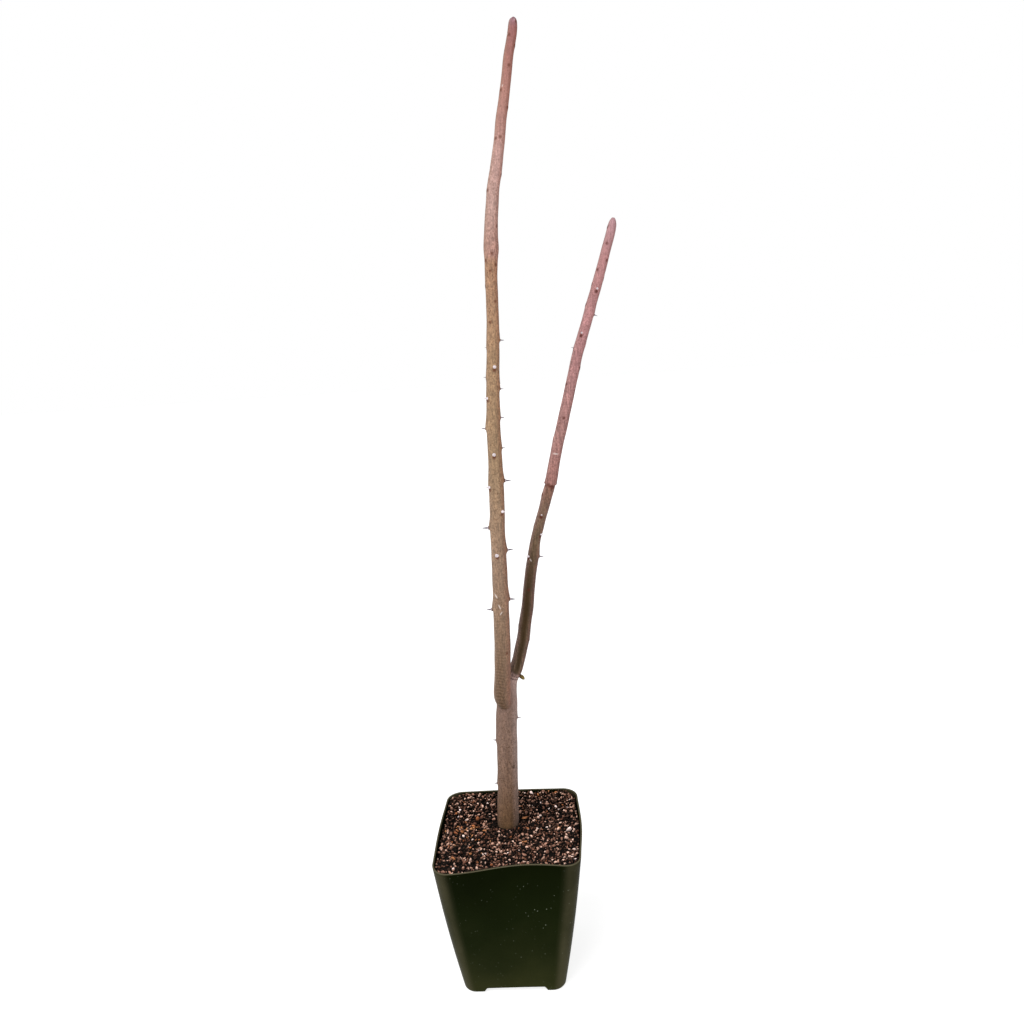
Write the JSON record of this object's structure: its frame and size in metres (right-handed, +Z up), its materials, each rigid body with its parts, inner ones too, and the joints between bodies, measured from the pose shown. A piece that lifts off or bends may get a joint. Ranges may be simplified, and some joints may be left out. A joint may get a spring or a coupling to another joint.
{
  "type": "potted alluaudia",
  "caption": "Leafless thorny succulent cutting with a trunk and two slim upright shoots, standing in a square plastic nursery pot of grit.",
  "frame": {"origin": "on the table under the middle of the whole plant's bounding box", "axes": "+Z up, +X to the right and +Y away from the viewer of the pot's front wall"},
  "size_m": [0.1288, 0.0908, 0.5542],
  "materials": {
    "pot_plastic": "very dark green moulded polypropylene, satin, with dust specks",
    "grit": "loose brown, tan and pale mineral grit with near-black gaps",
    "old_bark": "matte grey-mauve bark that turns olive-brown at the soil",
    "young_bark": "matte tan-brown skin, rose-mauve towards the tip, with pale thorns",
    "pink_bark": "matte dusty-pink skin above the growth ring and dark olive-brown below it",
    "dry_leaf": "matte dried yellow-olive leaf"
  },
  "bodies": {
    "root": {"pot": "pot_plastic", "soil": "grit", "trunk": "old_bark", "left_shoot": "young_bark", "right_shoot": "pink_bark", "leaf": "dry_leaf"}
  },
  "joints": []
}
